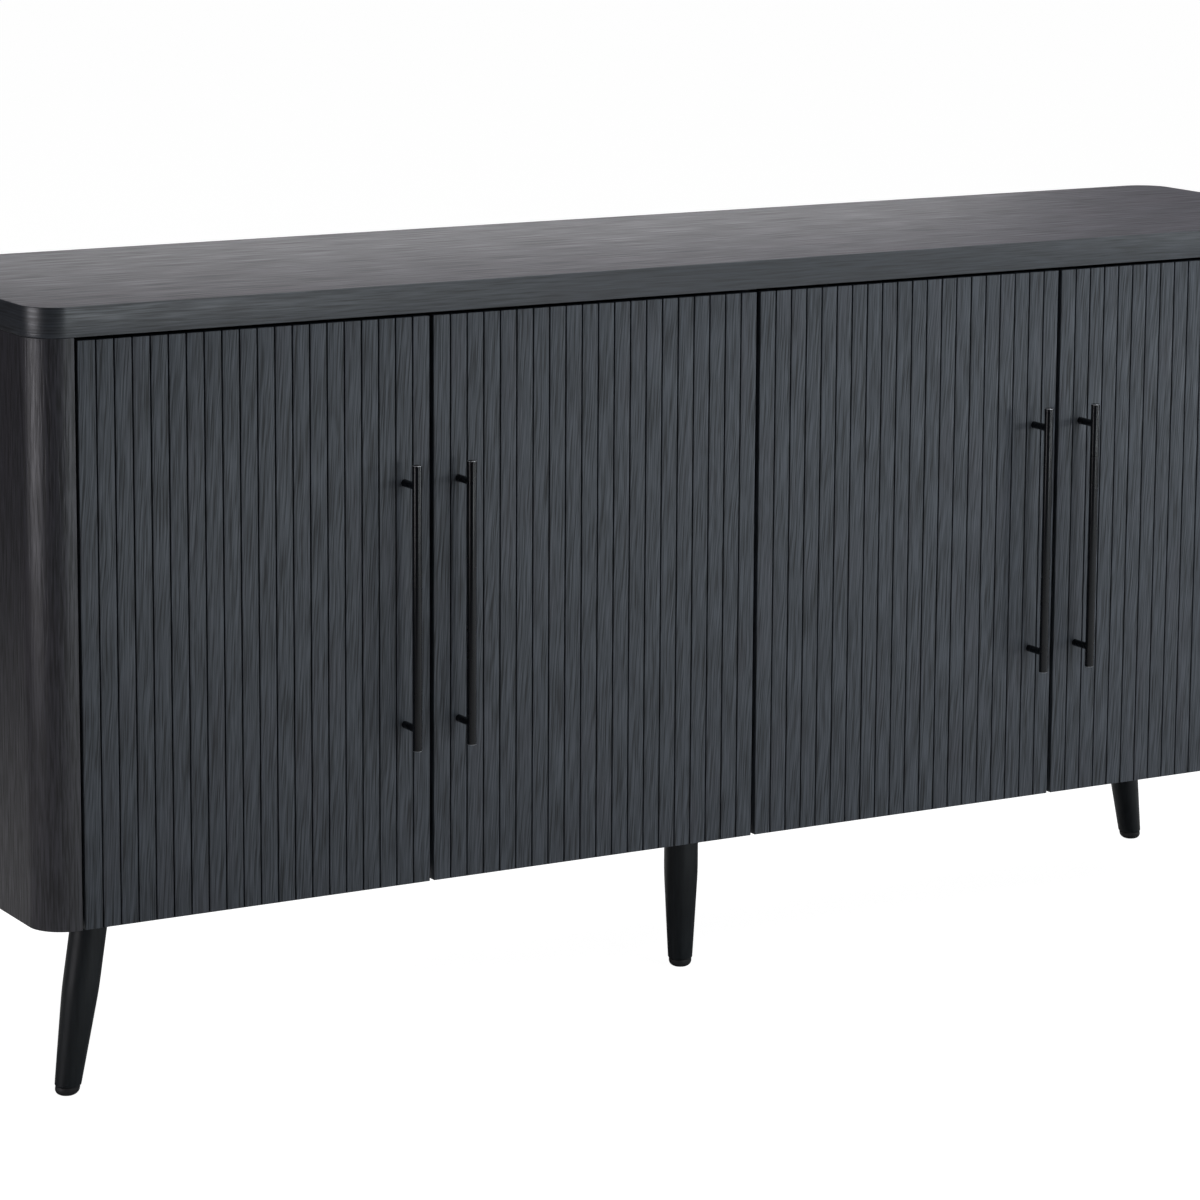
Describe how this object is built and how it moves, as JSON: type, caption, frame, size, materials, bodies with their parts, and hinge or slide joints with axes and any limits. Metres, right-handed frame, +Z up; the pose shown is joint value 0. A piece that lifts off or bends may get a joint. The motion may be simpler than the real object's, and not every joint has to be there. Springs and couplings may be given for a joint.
{
  "type": "sideboard",
  "caption": "Low free-standing sideboard with hinged slatted doors, slim bar pulls, rounded case corners and tapered turned legs.",
  "frame": {"origin": "on the floor, under the middle of the overall size with the pulls included", "axes": "+X to the right along the width as seen from the front, +Y towards the back, +Z up; the doors face -Y"},
  "size_m": [1.7, 0.464, 0.835],
  "materials": {
    "charcoal_oak": "matt black-stained open-pore oak",
    "inner_board": "matt dark foil-faced board",
    "back_board": "matt dark fibreboard",
    "black_wood": "satin black lacquer",
    "black_metal": "satin black powder coat",
    "plated_steel": "nickel plated",
    "glide_plastic": "matt black",
    "bumper_rubber": "soft matt"
  },
  "bodies": {
    "case": {"top_panel": "charcoal_oak", "side_panel_left": "charcoal_oak", "back_panel_left": "back_board", "shelf_left": "inner_board", "side_panel_right": "charcoal_oak", "back_panel_right": "back_board", "shelf_right": "inner_board", "bottom_panel": "inner_board", "centre_partition": "inner_board", "leg_front_left": "black_wood", "glide_front_left": "glide_plastic", "leg_plate_front_left": "plated_steel", "leg_front_right": "black_wood", "glide_front_right": "glide_plastic", "leg_plate_front_right": "plated_steel", "leg_rear_left": "black_wood", "glide_rear_left": "glide_plastic", "leg_plate_rear_left": "plated_steel", "leg_rear_right": "black_wood", "glide_rear_right": "glide_plastic", "leg_plate_rear_right": "plated_steel", "leg_centre": "black_wood", "glide_centre": "glide_plastic", "leg_plate_centre": "plated_steel", "shelf_pin_left_inner_front": "plated_steel", "shelf_pin_left_inner_rear": "plated_steel", "shelf_pin_left_outer_front": "plated_steel", "shelf_pin_left_outer_rear": "plated_steel", "shelf_pin_right_inner_front": "plated_steel", "shelf_pin_right_inner_rear": "plated_steel", "shelf_pin_right_outer_front": "plated_steel", "shelf_pin_right_outer_rear": "plated_steel", "hinge_arm_1_lower": "plated_steel", "hinge_arm_1_upper": "plated_steel", "hinge_arm_2_lower": "plated_steel", "hinge_arm_2_upper": "plated_steel", "hinge_arm_3_lower": "plated_steel", "hinge_arm_3_upper": "plated_steel", "hinge_arm_4_lower": "plated_steel", "hinge_arm_4_upper": "plated_steel"},
    "door_1_leaf": {"door_1": "charcoal_oak", "pull_1": "black_metal", "door_bumper_1": "bumper_rubber", "hinge_cup_1_lower": "plated_steel", "hinge_cup_1_upper": "plated_steel"},
    "door_2_leaf": {"door_2": "charcoal_oak", "pull_2": "black_metal", "door_bumper_2": "bumper_rubber", "hinge_cup_2_lower": "plated_steel", "hinge_cup_2_upper": "plated_steel"},
    "door_3_leaf": {"door_3": "charcoal_oak", "pull_3": "black_metal", "door_bumper_3": "bumper_rubber", "hinge_cup_3_lower": "plated_steel", "hinge_cup_3_upper": "plated_steel"},
    "door_4_leaf": {"door_4": "charcoal_oak", "pull_4": "black_metal", "door_bumper_4": "bumper_rubber", "hinge_cup_4_lower": "plated_steel", "hinge_cup_4_upper": "plated_steel"}
  },
  "joints": [
    {"name": "door_1_hinge", "type": "hinge", "parent": "case", "child": "door_1_leaf", "pos_m": [-0.7985, -0.193, 0.495], "axis": [0, 0, -1], "range_deg": [0, 100]},
    {"name": "door_2_hinge", "type": "hinge", "parent": "case", "child": "door_2_leaf", "pos_m": [-0.0075, -0.193, 0.495], "axis": [0, 0, 1], "range_deg": [0, 83]},
    {"name": "door_3_hinge", "type": "hinge", "parent": "case", "child": "door_3_leaf", "pos_m": [0.0075, -0.193, 0.495], "axis": [0, 0, -1], "range_deg": [0, 83]},
    {"name": "door_4_hinge", "type": "hinge", "parent": "case", "child": "door_4_leaf", "pos_m": [0.7985, -0.193, 0.495], "axis": [0, 0, 1], "range_deg": [0, 100]}
  ]
}
